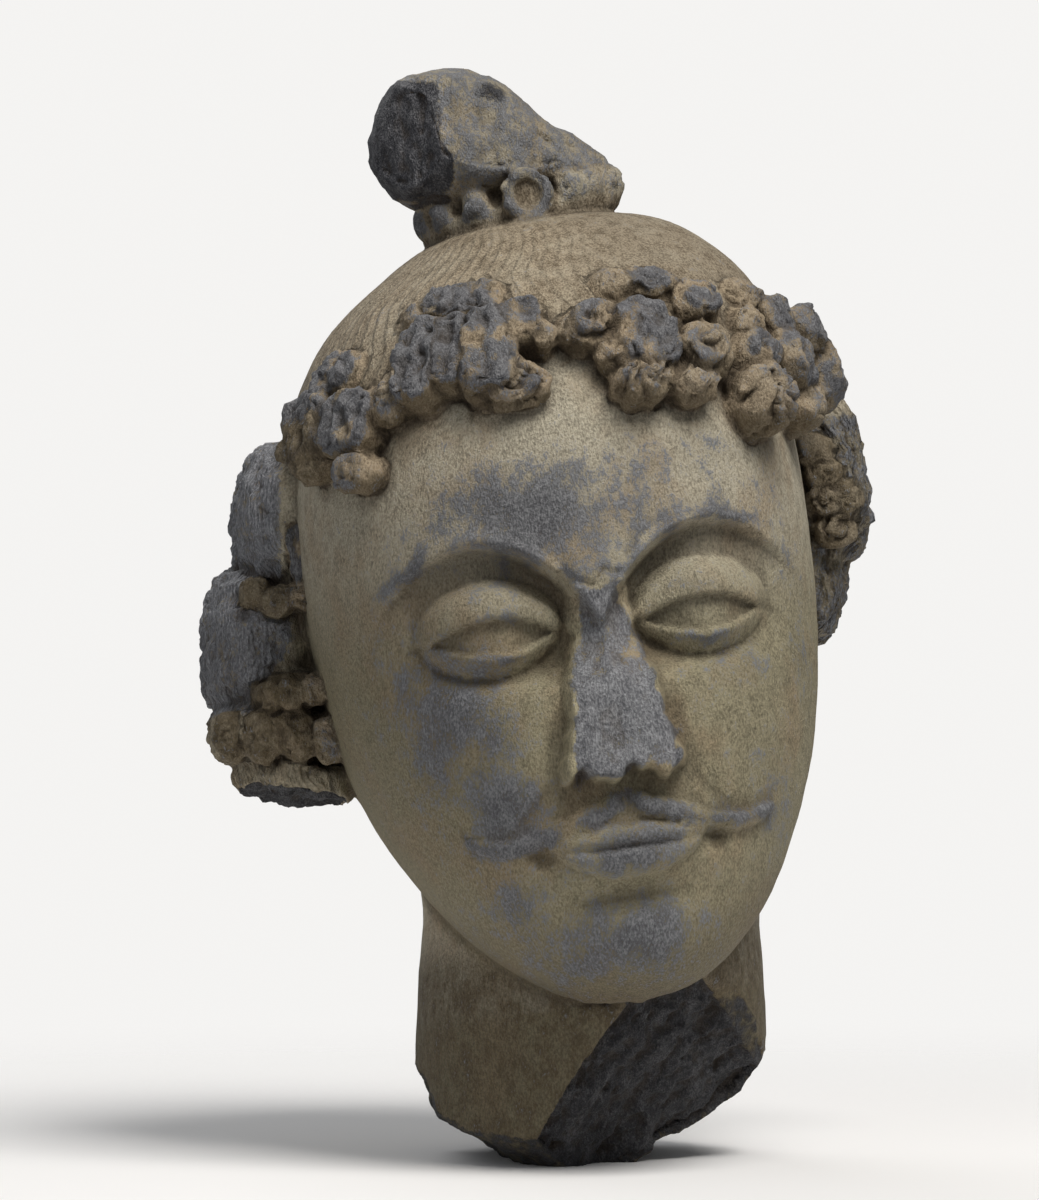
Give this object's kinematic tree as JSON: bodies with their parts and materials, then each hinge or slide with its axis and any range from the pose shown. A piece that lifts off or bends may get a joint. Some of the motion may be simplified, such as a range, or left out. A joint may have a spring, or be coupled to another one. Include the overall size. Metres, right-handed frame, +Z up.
{
  "type": "carved stone head",
  "caption": "Carved stone head with moustache, curls, side locks, topknot and beaded band, broken through the neck; stands on the flat of the break.",
  "frame": {"origin": "centre of the resting flat under the break of the neck", "axes": "+Z up from the resting flat, the face looks along -Y, +X is the head's own left"},
  "size_m": [0.2068, 0.203, 0.3301],
  "materials": {
    "schist": "matt grey schist with a brown and olive patina, worn blue-grey on the high places and charcoal in the fresh breaks"
  },
  "bodies": {
    "root": {"bodhisattva_head": "schist"}
  },
  "joints": []
}
